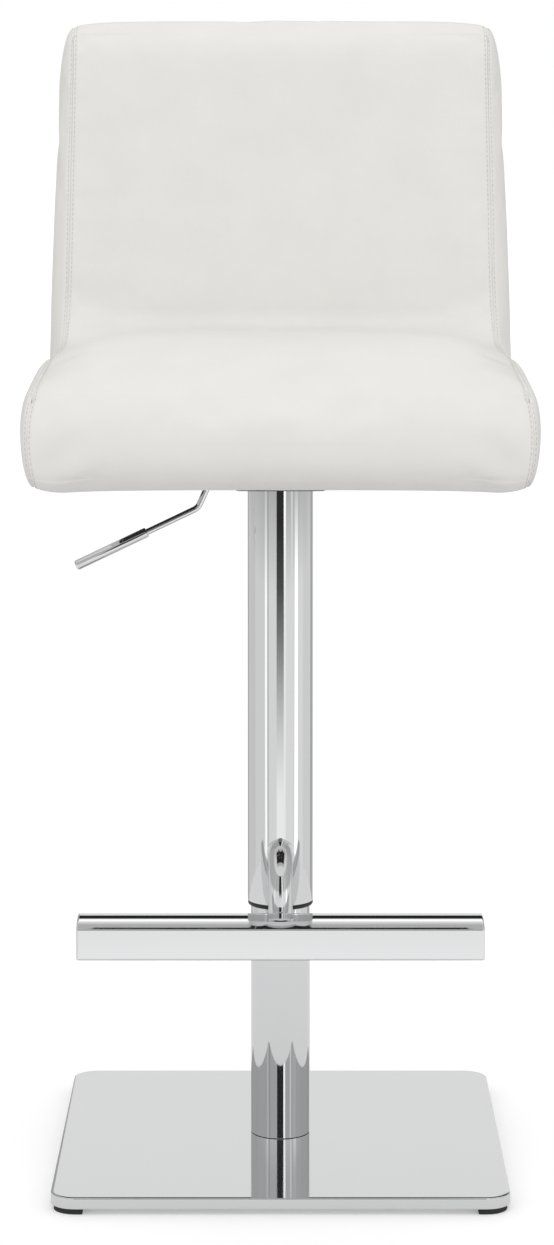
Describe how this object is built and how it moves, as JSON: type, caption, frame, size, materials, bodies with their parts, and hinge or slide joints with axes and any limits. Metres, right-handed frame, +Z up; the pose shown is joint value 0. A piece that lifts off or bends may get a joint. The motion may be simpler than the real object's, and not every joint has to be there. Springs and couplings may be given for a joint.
{
  "type": "adjustable swivel stool",
  "caption": "Swivel bar stool with a square flat base, telescopic gas-lift column, footrest, lift lever and an L-shaped padded seat and back.",
  "frame": {"origin": "on the floor, on the column's axis, which is the middle of the stool's plan", "axes": "+Z up, -Y the way the sitter faces, +X to the sitter's left"},
  "size_m": [0.4502, 0.4695, 1.035],
  "materials": {
    "chrome": "polished",
    "steel": "satin",
    "zinc": "satin",
    "dark_steel": "satin",
    "nylon": "satin",
    "rubber": "matte",
    "plywood": "matte",
    "foam": "matte",
    "leatherette": "satin",
    "lining": "matte"
  },
  "bodies": {
    "base": {"base_plate": "chrome", "foot_front_left": "rubber", "foot_front_right": "rubber", "foot_rear_left": "rubber", "foot_rear_right": "rubber", "column_spigot": "steel", "spigot_screw_1": "zinc", "spigot_screw_2": "zinc", "spigot_screw_3": "zinc", "spigot_screw_4": "zinc", "lower_tube": "chrome", "upper_guide_bush": "nylon", "thrust_washer_lower": "steel", "thrust_ball_cage": "zinc"},
    "rod": {"piston_rod": "chrome", "piston": "nylon", "retaining_clip": "steel", "thrust_washer_upper": "steel", "bump_stop": "rubber"},
    "seat": {"gas_cylinder": "dark_steel", "cylinder_rod_guide": "nylon", "outer_tube": "chrome", "guide_ring": "nylon", "tube_collar": "dark_steel", "cone_socket": "steel", "seat_channel": "dark_steel", "lever_bracket": "zinc", "lever_pivot_pin": "steel", "seat_bolt_1": "zinc", "seat_bolt_2": "zinc", "seat_bolt_3": "zinc", "seat_bolt_4": "zinc", "bolt_washer_1": "zinc", "bolt_washer_2": "zinc", "bolt_washer_3": "zinc", "bolt_washer_4": "zinc", "tee_nut_1": "zinc", "tee_nut_2": "zinc", "tee_nut_3": "zinc", "tee_nut_4": "zinc", "footrest_arm": "chrome", "footrest_bar": "chrome", "seat_shell": "plywood", "seat_foam": "foam", "back_foam": "foam", "seat_cover": "leatherette", "rear_panel": "leatherette", "bottom_lining": "lining"},
    "lever": {"lever_rod": "chrome", "lever_grip": "chrome"},
    "release_button": {"release_button": "zinc"}
  },
  "joints": [
    {"name": "seat_swivel", "type": "hinge", "parent": "base", "child": "rod", "pos_m": [0, 0, 0.04], "axis": [0, 0, 1], "continuous": true},
    {"name": "column_lift", "type": "slide", "parent": "rod", "child": "seat", "axis": [0, 0, 1], "range_m": [-0.18, 0]},
    {"name": "lever_lift", "type": "hinge", "parent": "seat", "child": "lever", "pos_m": [-0.028, 0, 0.629], "axis": [0, 1, 0], "range_deg": [0, 7], "stiffness_Nm_per_rad": 0.5},
    {"name": "button_press", "type": "slide", "parent": "seat", "child": "release_button", "axis": [0, 0, 1], "range_m": [-0.0039, 0]}
  ],
  "couplings": [
    {"joint": "button_press", "follows": "lever_lift", "m_per_rad": -0.031}
  ]
}
